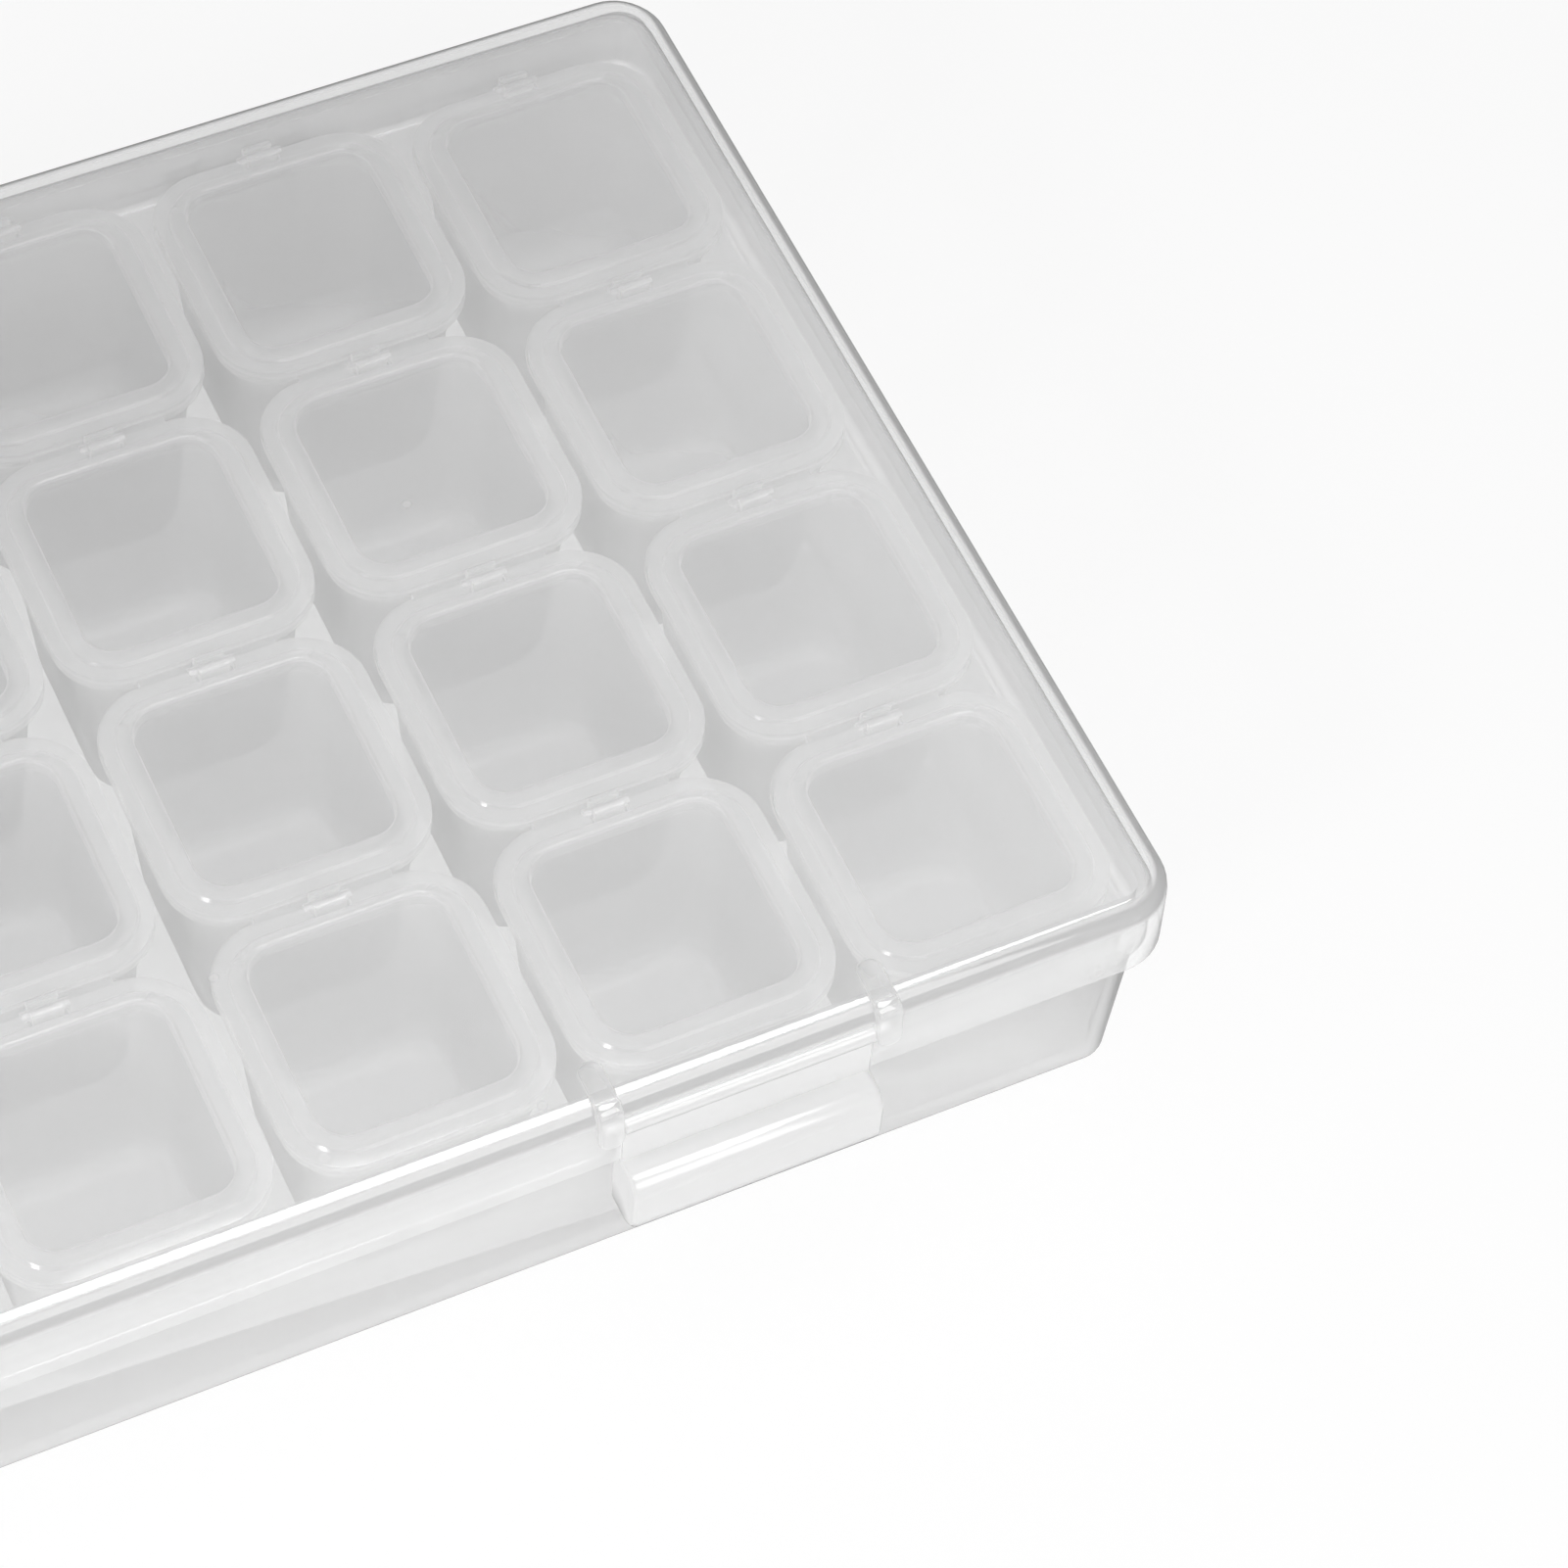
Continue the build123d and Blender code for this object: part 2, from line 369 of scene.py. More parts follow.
finishes = {
    # color: its grey straight on; rim: the painted shade grey it turns to at a glancing angle, coming
    # in between rimFrom and rimTo, standing in for the dark that refraction shows in thick plastic, and
    # the grey that the painted edge, wall and under shade mixes toward
    # body and edge: how solid it looks straight on and at a glancing angle
    # bend: how soon it changes from one to the other; through: the light its shadows let past
    # turn, wall and under: how much painted shade its rounded upper edges, upright walls and undersides
    # get
    # scatter: the share of its milkiness that lets light out on the far side
    # on the cups, rimFrom over 1 means that they keep their color at every angle
    "case clear": {
        "color": (0.93, 0.93, 0.93), "rim": (0.38, 0.38, 0.38), "rimFrom": 0.45, "rimTo": 0.7,
        "body": 0.16, "edge": 0.8, "bend": 0.22, "rough": 0.05, "cloud": 0.02, "through": 0.9,
        "turn": 0.7, "wall": 0.0, "under": 0.0, "scatter": 0.25,
    },
    "ear clear": {
        "color": (0.9, 0.9, 0.9), "rim": (0.6, 0.6, 0.6), "rimFrom": 0.5, "rimTo": 0.9,
        "body": 0.22, "edge": 0.8, "bend": 0.3, "rough": 0.08, "cloud": 0.02, "through": 0.8,
        "turn": 0.0, "wall": 0.0, "under": 0.0, "scatter": 0.3,
    },
    "tray clear": {
        "color": (0.92, 0.92, 0.92), "rim": (0.45, 0.45, 0.45), "rimFrom": 0.5, "rimTo": 0.95,
        "body": 0.12, "edge": 0.5, "bend": 0.3, "rough": 0.1, "cloud": 0.05, "through": 0.9,
        "turn": 0.2, "wall": 0.15, "under": 0.5, "scatter": 0.5,
    },
    "latch milky": {
        "color": (0.91, 0.91, 0.91), "rim": (0.3, 0.3, 0.3), "rimFrom": 0.6, "rimTo": 0.9,
        "body": 0.45, "edge": 0.95, "bend": 0.3, "rough": 0.15, "cloud": 0.06, "through": 0.7,
        "turn": 0.0, "wall": 0.0, "under": 0.55, "scatter": 0.3,
    },
    "cup milky": {
        "color": (0.94, 0.94, 0.94), "rim": (0.6, 0.6, 0.6), "rimFrom": 1.5, "rimTo": 2.0,
        "body": 0.24, "edge": 0.75, "bend": 0.35, "rough": 0.45, "cloud": 0.06, "through": 0.95,
        "turn": 0.0, "wall": 0.16, "under": 0.0, "scatter": 0.5,
    },
    "cell lid milky": {
        "color": (0.93, 0.93, 0.93), "rim": (0.8, 0.8, 0.8), "rimFrom": 0.6, "rimTo": 1.0,
        "body": 0.12, "edge": 0.9, "bend": 0.35, "rough": 0.12, "cloud": 0.04, "through": 0.9,
        "turn": 0.0, "wall": 0.0, "under": 0.0, "scatter": 0.4,
    },
    "cell rim milky": {
        "color": (0.93, 0.93, 0.93), "rim": (0.8, 0.8, 0.8), "rimFrom": 0.6, "rimTo": 1.0,
        "body": 0.28, "edge": 0.9, "bend": 0.35, "rough": 0.12, "cloud": 0.04, "through": 0.9,
        "turn": 0.0, "wall": 0.0, "under": 0.0, "scatter": 0.3,
    },
}


def makePlastic(name, haze, paintedEdgeShade):
    look = finishes[name]
    material = bpy.data.materials.new(name)
    material.use_nodes = True
    tree = material.node_tree
    nodes, links = tree.nodes, tree.links
    shader = nodes["Principled BSDF"]
    shader.inputs["IOR"].default_value = moulding["refraction"]
    shader.inputs["Specular IOR Level"].default_value = 0.0
    cloudy = useGroup(tree, haze, {
        "Cloud Scale": moulding["cloudScale"],
        "Cloud Amount": look["cloud"],
        "Speck Amount": moulding["speckStrength"],
    })
    # painted shade on turned edges, upright walls and undersides
    paintedShadeNode = useGroup(tree, paintedEdgeShade, {
        "Turn Amount": look["turn"],
        "Wall Amount": look["wall"],
        "Under Amount": look["under"],
    })
    facing = nodes.new("ShaderNodeLayerWeight")
    facing.inputs["Blend"].default_value = look["bend"]
    # how solid it looks, more solid where the painted shade lies
    solid = ramp(tree, facing.outputs["Facing"], toRange=(look["body"], look["edge"]))
    firm = calculate(tree, "ADD", solid, paintedShadeNode.outputs["Shade"])
    veil = calculate(tree, "ADD", firm, cloudy.outputs["Cloud"])
    alpha = calculate(tree, "ADD", veil, cloudy.outputs["Speck"], clamp=True)
    # moulded plastic scatters light on rather than stopping it, so its shadows are pale
    path = nodes.new("ShaderNodeLightPath")
    passed = ramp(tree, path.outputs["Is Shadow Ray"], toRange=(1.0, 1 - look["through"]))
    shown = calculate(tree, "MULTIPLY", alpha, passed)
    links.new(shown, shader.inputs["Alpha"])
    rough = calculate(tree, "ADD", look["rough"], cloudy.outputs["Cloud"])
    links.new(rough, shader.inputs["Roughness"])
    # its color, with painted shade at a glancing angle and where an edge turns, and darker in the
    # specks
    glancingShade = ramp(tree, facing.outputs["Facing"], (look["rimFrom"], look["rimTo"]))
    paintedShadeShare = calculate(tree, "ADD", glancingShade, paintedShadeNode.outputs["Shade"], clamp=True)
    paintedShadeTint = mixColors(tree, paintedShadeShare, look["color"], look["rim"])
    shade = mixColors(tree, cloudy.outputs["Speck"], paintedShadeTint, moulding["speckColor"])
    links.new(shade, shader.inputs["Base Color"])
    # some of the light falling on one side of a milky wall comes out of the other
    scattered = nodes.new("ShaderNodeBsdfTranslucent")
    links.new(shade, scattered.inputs["Color"])
    clearPart = nodes.new("ShaderNodeBsdfTransparent")
    scattering = blend(tree, shown, clearPart.outputs[0], scattered.outputs[0])
    bulk = blend(tree, look["scatter"], shader.outputs[0], scattering)
    # the gloss stays whole however clear the plastic is
    gloss = nodes.new("ShaderNodeBsdfAnisotropic")
    gloss.inputs["Color"].default_value = (1, 1, 1, 1)
    links.new(rough, gloss.inputs["Roughness"])
    glance = nodes.new("ShaderNodeLayerWeight")
    steep = calculate(tree, "POWER", glance.outputs["Facing"], moulding["glossPower"])
    mirrored = ramp(tree, steep, toRange=moulding["gloss"])
    glossed = blend(tree, mirrored, bulk, gloss.outputs[0])
    links.new(glossed, nodes["Material Output"].inputs["Surface"])
    return material


haze = makeHaze()
paintedEdgeShade = makePaintedEdgeShade()
plastics = {name: makePlastic(name, haze, paintedEdgeShade) for name in finishes}
print("finishes ready")


def finishPiece(piece, plastic, slot, body, *nodes):
    piece.data.materials.clear()
    piece.data.materials.append(plastics[plastic])
    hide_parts(*nodes)
    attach(piece, body)


def secondFinish(piece, plastic, test):
    # gives the faces whose centre, in millimetres, and normal pass the test another finish
    piece.data.materials.append(plastics[plastic])
    for face in piece.data.polygons:
        if test(face.center / mm, face.normal):
            face.material_index = 1


# the outer lid

outerLid = {
    "cornerRadius": 5.0,
    "cornerSegments": 10,
    "edgeRadius": 2.0,
    "edgeSegments": 6,
    "wall": 1.2,
    "draft": 0.14,
    "soften": (0.2, 2, 50),
    "windowWidth": 21.9,
    "windowDepth": 1.45,
    "windowTop": 24.2,
    "earWidth": 2.2,
    "earRise": 0.4,
    "earLevel": 25.1,
    "earLength": 4.9,
    "earProud": 0.45,
    "earFront": 1.15,
    "earDrop": 3.4,
    "earLean": 0.42,
    "earRound": (0.95, 5),
    "earNose": (1.2, 5),
    "earSoften": (0.35, 3, 40),
    "knuckle": 8.0,
    "hingeRadius": 1.8,
    "hingePin": 0.9,
    "hingePinReach": 2.5,
    "webInside": 1.15,
    "webTop": 21.4,
    "webTopInset": 0.2,
    "webFlank": 0.95,
}
earTop = case["height"] + outerLid["earRise"]
earReach = (outerLid["windowWidth"] + outerLid["earWidth"]) / 2


def makeEar(x):
    half = outerLid["earWidth"] / 2
    split = frontY + outerLid["earFront"]
    front, back = frontY - outerLid["earProud"], frontY + outerLid["earLength"]
    foot = outerLid["earLevel"] - outerLid["earDrop"]
    ear = addBlock("ear", (x - half, front, outerLid["earLevel"]), (x + half, back, earTop))
    pickAll(ear, "faces")
    bpy.ops.mesh.bisect(plane_co=point(0, split, 0), plane_no=(0, 1, 0))
    pick(ear, "faces", lambda c, n: n.z < -along and c.y < split)
    extrudeFaces(-outerLid["earDrop"])
    pick(ear, "verts", lambda c, n: c.z < foot + near and c.y < frontY)
    move(0, -outerLid["earLean"], 0)
    # round the back end in plan, the lower end of the front and the front's upper edge
    pick(ear, "edges", lambda c, n: abs(n.z) > along and c.y > back - near)
    roundEdges(*outerLid["earRound"])
    pick(ear, "edges", lambda c, n: abs(n.y) > along and c.z < foot + near)
    roundEdges(*outerLid["earRound"])
    pick(ear, "edges", lambda c, n: abs(n.x) > along and c.z > earTop - near and c.y < frontY)
    roundEdges(*outerLid["earNose"])
    leaveEdit()
    soften(ear, *outerLid["earSoften"])
    return ear


def makeKnuckle(x):
    half = outerLid["knuckle"] / 2
    level, radius = case["hingeLevel"], outerLid["hingeRadius"]
    back = hingeY + radius * outerLid["webFlank"]
    inside, top = backY - outerLid["webInside"], outerLid["webTop"]
    web = addBlock("web", (x - half, inside, level), (x + half, back, top))
    pick(web, "verts", lambda c, n: c.z > top - near and c.y > backY)
    move(0, backY - outerLid["webTopInset"] - back, 0)
    leaveEdit()
    barrel = addRod("barrel", (x, hingeY, level), radius, 2 * half, case["hingeSides"])
    combine(web, [barrel], "UNION")
    return web


def makeOuterLid():
    lean = outerLid["draft"]
    width, depth = case["width"] - 2 * lean, case["depth"] - 2 * lean
    shell = addPlate("lidShell", width, depth, case["height"])
    pickAll(shell, "verts")
    roundCorners(outerLid["cornerRadius"], outerLid["cornerSegments"])
    pickAll(shell, "edges")
    extrudeEdges(case["skirtLevel"] - case["height"])
    scaleAbout(case["width"] / width, case["depth"] / depth)
    pick(shell, "edges", lambda c, n: c.z > case["height"] - near)
    roundEdges(outerLid["edgeRadius"], outerLid["edgeSegments"])
    tidyMesh(shell)
    thicken(shell, outerLid["wall"])
    soften(shell, *outerLid["soften"])
    # windows behind the latches, with an ear at each side
    half = outerLid["windowWidth"] / 2
    outside, inside = frontY - 2 * overcut, frontY + outerLid["windowDepth"]
    low, high = case["skirtLevel"] - 2 * overcut, outerLid["windowTop"]
    windows = []
    for centre in latchCentres.values():
        windows.append(addBlock("window", (centre - half, outside, low), (centre + half, inside, high)))
    combine(shell, windows, "DIFFERENCE")
    ears = [makeEar(centre + side * earReach) for centre in latchCentres.values() for side in (-1, 1)]
    combine(shell, ears, "UNION")
    # the hinge at the back
    pinLength = outerLid["knuckle"] + 2 * outerLid["hingePinReach"]
    for centre in latchCentres.values():
        combine(shell, [makeKnuckle(centre)], "UNION")
        place = (centre, hingeY, case["hingeLevel"])
        pin = addRod("pin", place, outerLid["hingePin"], pinLength, case["hingePinSides"])
        combine(shell, [pin], "UNION")
    smooth(shell)
    return shell


def onEar(c, n):
    skin = 0.02
    aside = min(abs(abs(c.x - centre) - earReach) for centre in latchCentres.values())
    proud = c.z > case["height"] + skin or c.y < frontY + skin
    within = c.y < frontY + outerLid["earLength"] + near
    return aside < outerLid["earWidth"] / 2 + skin and within and proud


lidShell = makeOuterLid()
finishPiece(lidShell, "case clear", "case_plastic", "outer_lid", "outer_lid")
secondFinish(lidShell, "ear clear", onEar)
print("outer lid done")


# the base tray

tray = {
    "wall": 1.2,
    "bottomInset": 2.786,
    "ledgeInset": 2.0,
    "rimInset": 1.45,
    "rimTopInset": 1.69,
    "cornerRadius": 2.6,
    "cornerSegments": 8,
    "bottomEdge": (0.7, 4),
    "soften": (0.18, 2, 50),
    "catchWidth": 18.0,
    "catchFront": 1.35,
    "catchBack": 2.6,
    "catchLow": 16.0,
    "catchTop": 17.2,
    "catchEdge": (0.4, 1),
    "armWidth": 2.5,
    "armGap": 0.2,
    "armInside": 2.6,
    "armFlank": 0.96,
    "armDrop": 3.4,
    "weld": 0.004,
    "holeSides": 12,
}


def makeArm(x):
    half = tray["armWidth"] / 2
    level, radius = case["hingeLevel"], outerLid["hingeRadius"]
    flank = tray["armFlank"] * radius
    inside = backY - tray["armInside"]
    arm = addBlock("arm", (x - half, inside, level - flank), (x + half, hingeY, level + flank))
    pick(arm, "verts", lambda c, n: c.z < level and c.y < backY)
    move(0, 0, -tray["armDrop"])
    leaveEdit()
    place = (x, hingeY, level)
    eye = addRod("eye", place, radius, 2 * half, case["hingeSides"])
    combine(arm, [eye], "UNION")
    boreRadius = outerLid["hingePin"] + case["boreGap"]
    bore = addRod("bore", place, boreRadius, 2 * half + overcut, case["hingePinSides"])
    combine(arm, [bore], "DIFFERENCE")
    return arm


def makeCatch(x):
    half = tray["catchWidth"] / 2
    front, back = frontY + tray["catchFront"], frontY + tray["catchBack"]
    top = tray["catchTop"]
    catch = addBlock("catch", (x - half, front, tray["catchLow"]), (x + half, back, top))
    pick(catch, "edges", lambda c, n: abs(n.x) > along and c.z > top - near and c.y < front + near)
    roundEdges(*tray["catchEdge"])
    leaveEdit()
    return catch


def makeTray():
    def outline(inset):
        return case["width"] - 2 * inset, case["depth"] - 2 * inset

    width, depth = outline(tray["bottomInset"])
    shell = addPlate("trayShell", width, depth, 0)
    pickAll(shell, "verts")
    roundCorners(tray["cornerRadius"], tray["cornerSegments"])
    pickAll(shell, "edges")
    # up the wall to the ledge, in over the ledge, and up the rim
    levels = (
        (case["skirtLevel"], "ledgeInset"),
        (case["skirtLevel"], "rimInset"),
        (case["rimTop"], "rimTopInset"),
    )
    level, sizes = 0.0, (width, depth)
    for top, inset in levels:
        extrudeEdges(top - level)
        new = outline(tray[inset])
        scaleAbout(new[0] / sizes[0], new[1] / sizes[1])
        level, sizes = top, new
    pick(shell, "edges", lambda c, n: c.z < near)
    roundEdges(*tray["bottomEdge"])
    tidyMesh(shell)
    thicken(shell, tray["wall"])
    soften(shell, *tray["soften"])
    armReach = outerLid["knuckle"] / 2 + tray["armGap"] + tray["armWidth"] / 2
    parts = []
    for centre in latchCentres.values():
        parts += [makeCatch(centre), makeArm(centre - armReach), makeArm(centre + armReach)]
    combine(shell, parts, "UNION")
    # close the slivers that the joining leaves
    pickAll(shell, "verts")
    bpy.ops.mesh.remove_doubles(threshold=tray["weld"] * mm)
    bpy.ops.mesh.select_all(action="DESELECT")
    bpy.ops.mesh.select_non_manifold(extend=False, use_wire=False, use_multi_face=False)
    bpy.ops.mesh.fill_holes(sides=tray["holeSides"])
    leaveEdit()
    smooth(shell)
    return shell


trayShell = makeTray()
finishPiece(trayShell, "tray clear", "case_plastic", "case", "base_tray")
print("tray done")


# the strips of cups

strip = {
    "radius": 5.5,
    "segments": 8,
    "opening": 1.9,
    "openingEdge": (0.35, 3),
    "flangeBand": 1.5,
    "wall": 0.8,
    "floor": 2.1,
    "lean": 1.657,
    "bottomEdge": (1.6, 5),
    "soften": (0.16, 2, 50),
    "clipWidth": 2.6,
    "clipRadius": 0.9,
    "clipSink": 0.5,
    "clipEdge": (0.35, 3),
    "clipMouth": 0.72,
    "pinRadius": 0.45,
    "pinSides": 16,
}


def makeClip(y):
    half, radius = strip["clipWidth"] / 2, strip["clipRadius"]
    level = case["pinLevel"]
    low = case["flangeTop"] - strip["clipSink"]
    clip = addBlock("clip", (-half, y - radius, low), (half, y + radius, level + radius))
    pick(clip, "edges", lambda c, n: abs(n.x) > along and c.z > level)
    roundEdges(*strip["clipEdge"])
    leaveEdit()
    boreRadius = strip["pinRadius"] + case["boreGap"]
    bore = addRod("bore", (0, y, level), boreRadius, 2 * half + overcut, strip["pinSides"])
    end, side = half + overcut, strip["clipMouth"] / 2
    mouth = addBlock("mouth", (-end, y - side, level), (end, y + side, level + 2 * overcut))
    combine(clip, [bore, mouth], "DIFFERENCE")
    return clip


def makeStrip():
    width, depth = case["cellWidth"], case["cellDepth"]
    rows, pitch, top = case["rows"], case["pitchY"], case["flangeTop"]
    startY = -(rows - 1) / 2 * pitch
    cups = addPlate("stripMaster", width, depth, top, startY)
    pickAll(cups, "verts")
    roundCorners(strip["radius"], strip["segments"])
    pickAll(cups, "faces")
    bpy.ops.mesh.inset(thickness=strip["opening"] * mm)
    extrudeFaces(strip["floor"] - top)
    inner = width - 2 * strip["opening"], depth - 2 * strip["opening"]
    shrink = [1 - 2 * strip["lean"] / size for size in inner]
    scaleAbout(*shrink, (0, startY, strip["floor"]))
    pick(cups, "edges", lambda c, n: c.z < strip["floor"] + near)
    roundEdges(*strip["bottomEdge"])
    reach = width / 2 - strip["flangeBand"], depth / 2 - strip["flangeBand"]
    pick(cups, "edges", lambda c, n: abs(c.z - top) < near
         and abs(c.x) < reach[0] and abs(c.y - startY) < reach[1])
    roundEdges(*strip["openingEdge"])
    pickAll(cups, "faces")
    for copy in range(rows - 1):
        bpy.ops.mesh.duplicate_move(TRANSFORM_OT_translate={"value": point(0, pitch, 0)})
    # join the flanges between the cups
    for row in range(rows - 1):
        joint = startY + (row + 0.5) * pitch
        pick(cups, "edges", lambda c, n: abs(c.y - joint) < pitch - depth
             and abs(n.x) > along and abs(c.x) < near)
        bpy.ops.mesh.bridge_edge_loops()
    tidyMesh(cups)
    thicken(cups, strip["wall"])
    soften(cups, *strip["soften"])
    clips = [makeClip(startY + row * pitch + case["pinBack"]) for row in range(rows)]
    combine(cups, clips, "UNION")
    smooth(cups)
    return cups


def onFlange(c, n):
    return c.z > case["flangeTop"] - strip["wall"] - near


# the lids of the cells

cellLid = {
    "radius": 5.5,
    "segments": 8,
    "border": 1.15,
    "step": 0.25,
    "stepSlope": 0.22,
    "panel": 1.7,
    "panelDrop": 1.3,
    "panelLean": 0.11,
    "panelEdge": (0.3, 4),
    "backShift": 0.6,
    "wall": 0.75,
    "soften": (0.14, 3, 30),
    "notch": 3.4,
    "notchDepth": 1.3,
    "notchLow": 21.0,
    "notchTop": 25.0,
    "pinReach": 0.3,
    "rimAbove": 0.6,
}


def makeCellLid():
    front, back = -case["cellDepth"] / 2, case["pinBack"]
    width, depth = case["cellWidth"], back - front
    top = case["flangeTop"] + cellLid["wall"]
    lid = addPlate("cellLidMaster", width, depth, top, (front + back) / 2)
    pickAll(lid, "verts")
    roundCorners(cellLid["radius"], cellLid["segments"])
    # a border, a small step up, and a sunken panel that reaches further back
    pickAll(lid, "faces")
    bpy.ops.mesh.inset(thickness=cellLid["border"] * mm)
    bpy.ops.mesh.inset(thickness=cellLid["stepSlope"] * mm)
    move(0, 0, cellLid["step"])
    bpy.ops.mesh.inset(thickness=(cellLid["panel"] - cellLid["stepSlope"]) * mm)
    inset = cellLid["border"] + cellLid["panel"]
    panelWide, evenDeep = width - 2 * inset, depth - 2 * inset
    panelDeep = evenDeep + cellLid["backShift"]
    panelFront = front + inset
    panelCentre = panelFront + panelDeep / 2
    scaleAbout(1, panelDeep / evenDeep, (0, panelFront, 0))
    extrudeFaces(-cellLid["panelDrop"])
    shrink = [1 - 2 * cellLid["panelLean"] / size for size in (panelWide, panelDeep)]
    scaleAbout(*shrink, (0, panelCentre, 0))
    tidyMesh(lid)
    thicken(lid, cellLid["wall"])
    # the fine edge comes after the wall, because the wall can't follow such narrow faces
    ridge = top + cellLid["step"]
    reach = panelWide / 2 + near, panelDeep / 2 + near
    pick(lid, "edges", lambda c, n: c.z > ridge - near
         and abs(c.x) < reach[0] and abs(c.y - panelCentre) < reach[1])
    roundEdges(*cellLid["panelEdge"])
    leaveEdit()
    soften(lid, *cellLid["soften"])
    half = cellLid["notch"] / 2
    notchLow = (-half, back - cellLid["notchDepth"], cellLid["notchLow"])
    notchHigh = (half, back + 2 * overcut, cellLid["notchTop"])
    notch = addBlock("notch", notchLow, notchHigh)
    combine(lid, [notch], "DIFFERENCE")
    length = cellLid["notch"] + 2 * cellLid["pinReach"]
    pin = addRod("pin", (0, back, case["pinLevel"]), strip["pinRadius"], length, strip["pinSides"])
    combine(lid, [pin], "UNION")
    smooth(lid)
    return lid


def onRim(c, n):
    # the border of a cell lid, above and below, without the sunken panel and its walls
    beneath = n.z < -along and c.z > case["flangeTop"] - near
    return c.z > case["flangeTop"] + cellLid["rimAbove"] or beneath


stripMaster = makeStrip()
cellLidMaster = makeCellLid()
for column in range(case["columns"]):
    x = (column - (case["columns"] - 1) / 2) * case["pitchX"]
    slide = case["slides"][column] * case["endPlay"]
    made = copyPiece(stripMaster, f"cups_{column + 1}", (x, slide, 0))
    finishPiece(made, "cup milky", "cup_plastic", "case", f"strip_{column + 1}")
    secondFinish(made, "cell rim milky", onFlange)
    for row in range(case["rows"]):
        y = (row - (case["rows"] - 1) / 2) * case["pitchY"] + slide
        node = f"cell_lid_{column + 1}_{row + 1}"
        made = copyPiece(cellLidMaster, f"flap_{column + 1}_{row + 1}", (x, y, 0))
        finishPiece(made, "cell lid milky", "cell_lid_plastic", node, node)
        secondFinish(made, "cell rim milky", onRim)
bpy.data.objects.remove(stripMaster)
bpy.data.objects.remove(cellLidMaster)
print("strips and cell lids done")


# the latches

latch = {
    "width": 21.6,
    "plate": 1.05,
    "plateGap": 0.1,
    "plateLap": 2.0,
    "pivotY": -53.4,
    "pivotZ": 22.9,
    "barrel": 0.85,
    "barrelSides": 24,
    "pin": 0.5,
    "pinReach": 1.5,
    "pinSides": 16,
    "gripWidth": 22.0,
    "gripTop": 17.6,
    "gripHeight": 7.4,
    "gripReach": 3.0,
    "gripTopEdge": (1.7, 6),
    "gripLowEdge": (2.4, 7),
    "gripEnd": (0.55, 3),
    "toothTop": 15.85,
    "toothHeight": 1.35,
    "toothTip": -51.8,
    "toothRoot": 0.2,
}


def makeLatch():
    inner = frontY + latch["plateGap"] + latch["plate"]
    outside = frontY - latch["gripReach"]
    top, bottom = latch["gripTop"], latch["gripTop"] - latch["gripHeight"]
    half = latch["gripWidth"] / 2
    grip = addBlock("latchMaster", (-half, outside, bottom), (half, inner, top))

    def onFace(c, n):
        return abs(n.x) > along and c.y < outside + near

    pick(grip, "edges", lambda c, n: onFace(c, n) and c.z > top - near)
    roundEdges(*latch["gripTopEdge"])
    pick(grip, "edges", lambda c, n: onFace(c, n) and c.z < bottom + near)
    roundEdges(*latch["gripLowEdge"])
    pick(grip, "edges", lambda c, n: abs(n.x) < near and c.y < inner - near)
    roundEdges(*latch["gripEnd"])
    leaveEdit()
    half = latch["width"] / 2
    plateTop, plateLow = latch["pivotZ"], top - latch["plateLap"]
    plate = addBlock("plate", (-half, inner - latch["plate"], plateLow), (half, inner, plateTop))
    pivot = (0, latch["pivotY"], latch["pivotZ"])
    barrel = addRod("barrel", pivot, latch["barrel"], latch["width"], latch["barrelSides"])
    pinLength = latch["width"] + 2 * latch["pinReach"]
    pins = addRod("pins", pivot, latch["pin"], pinLength, latch["pinSides"])
    half = tray["catchWidth"] / 2
    toothLow = latch["toothTop"] - latch["toothHeight"]
    root = inner - latch["toothRoot"]
    tooth = addBlock("tooth", (-half, root, toothLow), (half, latch["toothTip"], latch["toothTop"]))
    combine(grip, [plate, barrel, pins, tooth], "UNION")
    smooth(grip)
    return grip


latchMaster = makeLatch()
for side, centre in latchCentres.items():
    made = copyPiece(latchMaster, "latch" + side.capitalize(), (centre, 0, 0))
    finishPiece(made, "latch milky", "latch_plastic", f"latch_{side}", f"latch_{side}")
bpy.data.objects.remove(latchMaster)
print("latches done")


# the floor, the light and the camera

# in metres, with turns in degrees; a gloss only lamp shows in reflections and lights nothing
studio = {
    "floorColor": (0.92, 0.92, 0.92),
    "floorSize": 4.0,
    "floorLevel": -0.0001,
    "floorRough": 0.9,
    "floorGlow": 0.85,
    "sky": 0.395,
    "lamps": {
        "key": {"place": (0.08, -0.28, 0.24), "size": 0.2, "power": 0.53, "gloss only": False},
        "edge": {"place": (0.10, -0.06, 0.52), "size": 0.26, "power": 2.0, "gloss only": True},
        "side": {"place": (-0.41, -0.28, 0.31), "size": 0.10, "power": 1.15, "gloss only": False},
    },
    "panel": {"size": 2.4, "level": 0.8, "turn": 17.0, "fadeFrom": 0.42, "fadeTo": 0.57, "glow": 0.95},
}

# place in metres, turn in degrees, lens and sensor in millimetres
view = {
    "place": (-0.05793378, -0.23937896, 0.37649103),
    "turn": (34.30128217, -3.27304541, -25.09742813),
    "lens": 120.484275,
    "sensor": 36.0,
    "clipStart": 0.01,
}


def seenRays(tree):
    # camera, mirror and glass rays all see the pale background
    light = tree.nodes.new("ShaderNodeLightPath")
    total = light.outputs["Is Camera Ray"]
    for kind in ("Is Glossy Ray", "Is Transmission Ray"):
        total = calculate(tree, "ADD", total, light.outputs[kind], clamp=True)
    return total


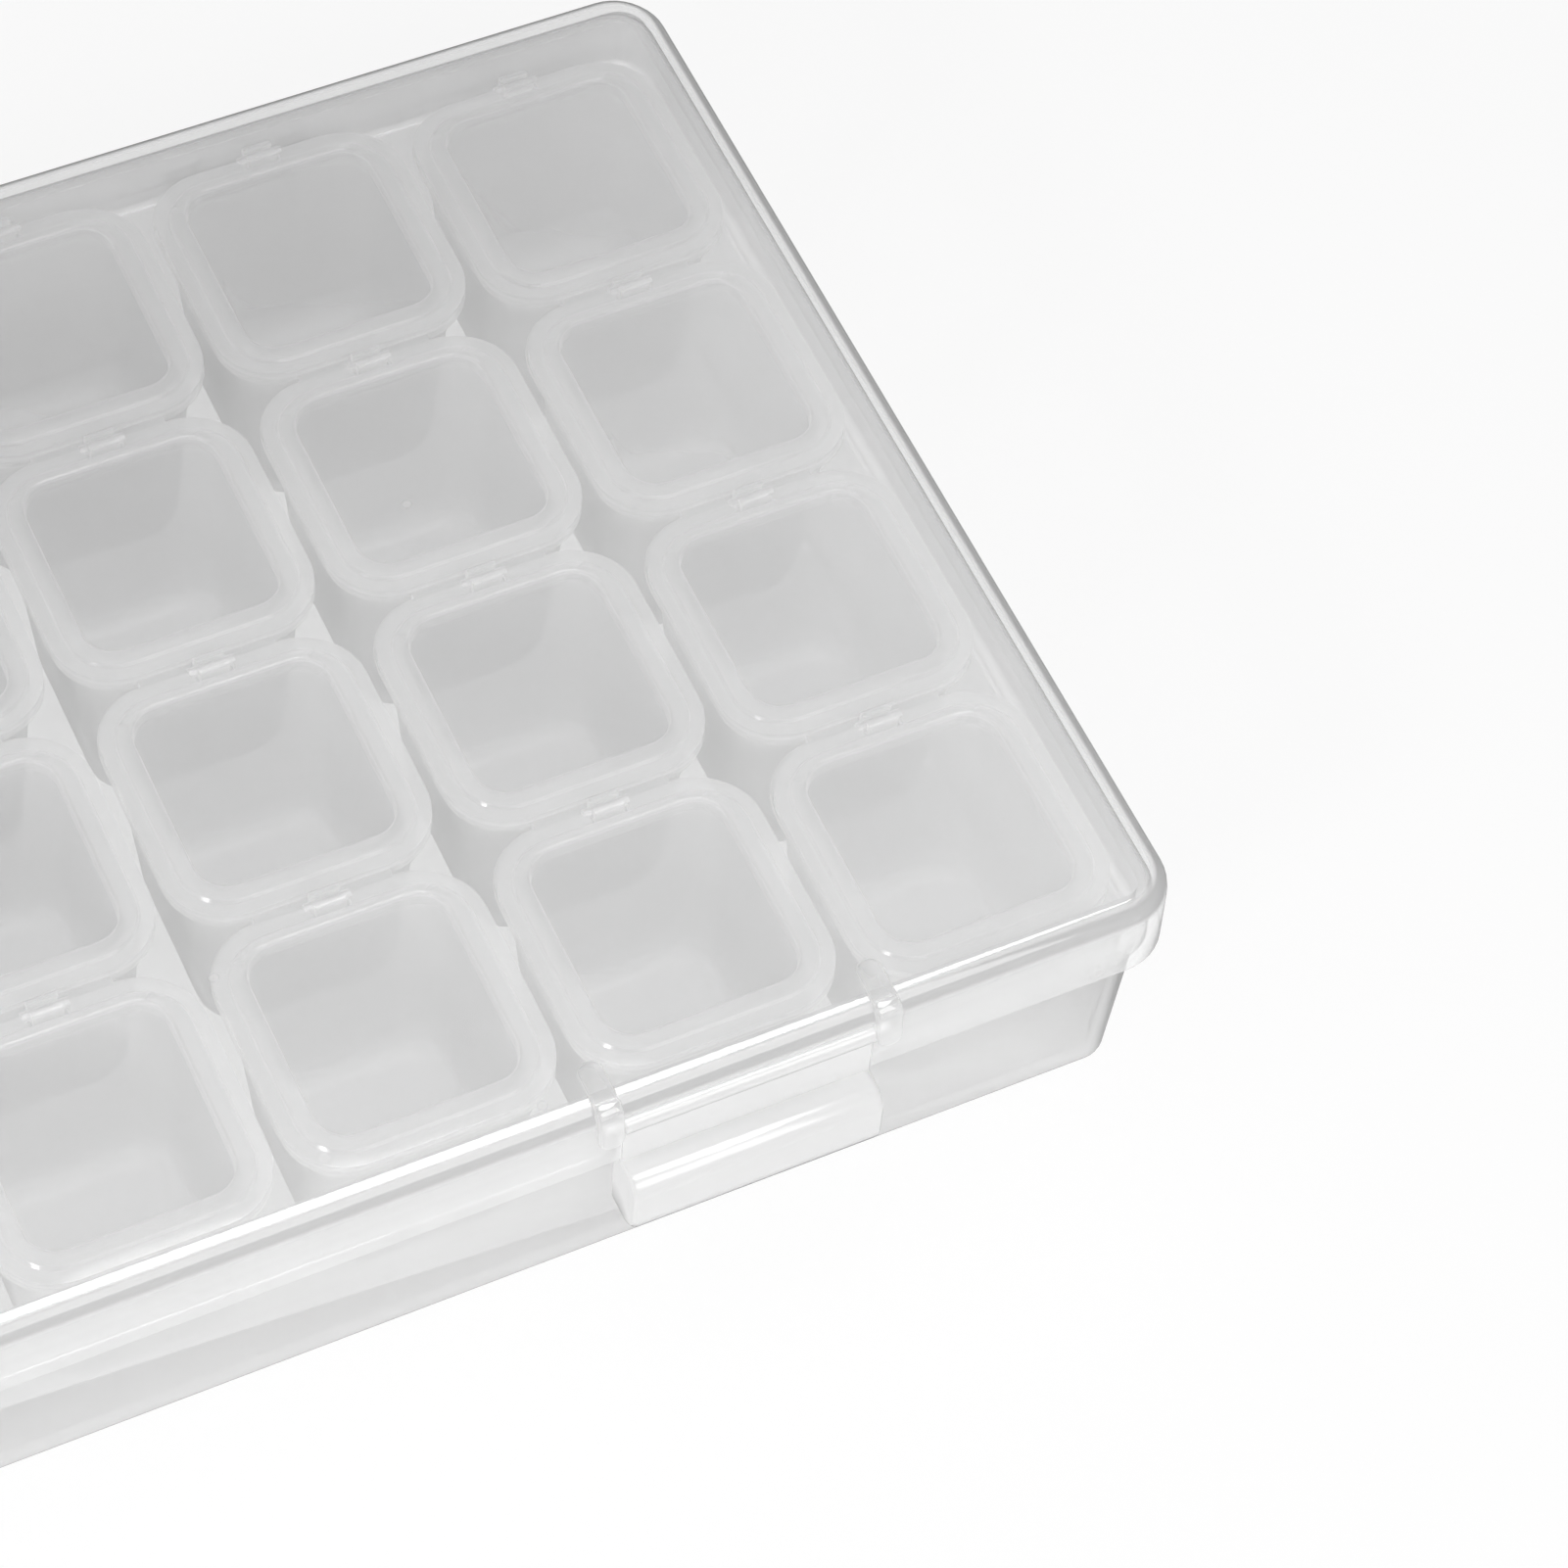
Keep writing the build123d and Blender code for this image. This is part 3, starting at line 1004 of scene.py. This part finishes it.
def makeFloor():
    clearSelection()
    bpy.ops.mesh.primitive_plane_add(size=studio["floorSize"], location=(0, 0, studio["floorLevel"]))
    floor = bpy.context.object
    floor.name = "floor"
    material = bpy.data.materials.new("pale floor")
    material.use_nodes = True
    tree = material.node_tree
    shader = tree.nodes["Principled BSDF"]
    shader.inputs["Base Color"].default_value = (*studio["floorColor"], 1)
    shader.inputs["Roughness"].default_value = studio["floorRough"]
    glow = tree.nodes.new("ShaderNodeEmission")
    share = calculate(tree, "MULTIPLY", seenRays(tree), studio["floorGlow"])
    mixed = blend(tree, share, shader.outputs[0], glow.outputs[0])
    tree.links.new(mixed, tree.nodes["Material Output"].inputs["Surface"])
    floor.data.materials.append(material)


def makePanel():
    # a wide panel above and behind, bright near the case and fading to dark at the back
    panel = studio["panel"]
    clearSelection()
    place = (0, panel["size"] / 2, panel["level"])
    bpy.ops.mesh.primitive_plane_add(size=panel["size"], location=place)
    sheet = bpy.context.object
    sheet.name = "light panel"
    bpy.ops.object.transform_apply(location=True, rotation=True, scale=True)
    sheet.rotation_euler.z = math.radians(panel["turn"])
    material = bpy.data.materials.new("light panel")
    material.use_nodes = True
    nodes, links = material.node_tree.nodes, material.node_tree.links
    nodes.remove(nodes["Principled BSDF"])
    glow = nodes.new("ShaderNodeEmission")
    places = nodes.new("ShaderNodeTexCoord")
    split = nodes.new("ShaderNodeSeparateXYZ")
    links.new(places.outputs["Object"], split.inputs[0])
    fade = nodes.new("ShaderNodeMapRange")
    fade.interpolation_type = "SMOOTHSTEP"
    fade.inputs["From Min"].default_value = panel["fadeTo"]
    fade.inputs["From Max"].default_value = panel["fadeFrom"]
    fade.inputs["To Max"].default_value = panel["glow"]
    links.new(split.outputs["Y"], fade.inputs["Value"])
    links.new(fade.outputs["Result"], glow.inputs["Strength"])
    links.new(glow.outputs[0], nodes["Material Output"].inputs["Surface"])
    sheet.data.materials.append(material)
    sheet.visible_camera = False


def makeSky():
    world = bpy.data.worlds.new("studio")
    bpy.context.scene.world = world
    world.use_nodes = True
    tree = world.node_tree
    background = tree.nodes["Background"]
    background.inputs["Color"].default_value = (1, 1, 1, 1)
    strength = ramp(tree, seenRays(tree), toRange=(studio["sky"], 1.0))
    tree.links.new(strength, background.inputs["Strength"])


def makeLamp(name, lamp):
    data = bpy.data.lights.new(name, "AREA")
    data.size = lamp["size"]
    data.energy = lamp["power"]
    holder = bpy.data.objects.new(name, data)
    bpy.context.scene.collection.objects.link(holder)
    holder.location = lamp["place"]
    holder.rotation_euler = (-Vector(lamp["place"])).to_track_quat("-Z", "Y").to_euler()
    holder.visible_camera = False
    holder.visible_diffuse = not lamp["gloss only"]
    holder.visible_transmission = not lamp["gloss only"]


def makeCamera():
    data = bpy.data.cameras.new("view")
    data.lens = view["lens"]
    data.sensor_width = view["sensor"]
    data.clip_start = view["clipStart"]
    camera = bpy.data.objects.new("view", data)
    bpy.context.scene.collection.objects.link(camera)
    camera.location = view["place"]
    camera.rotation_euler = [math.radians(a) for a in view["turn"]]
    bpy.context.scene.camera = camera


makeFloor()
makePanel()
makeSky()
for name, lamp in studio["lamps"].items():
    makeLamp(name, lamp)
makeCamera()
bpy.context.scene.view_settings.view_transform = "Standard"
print("studio ready")
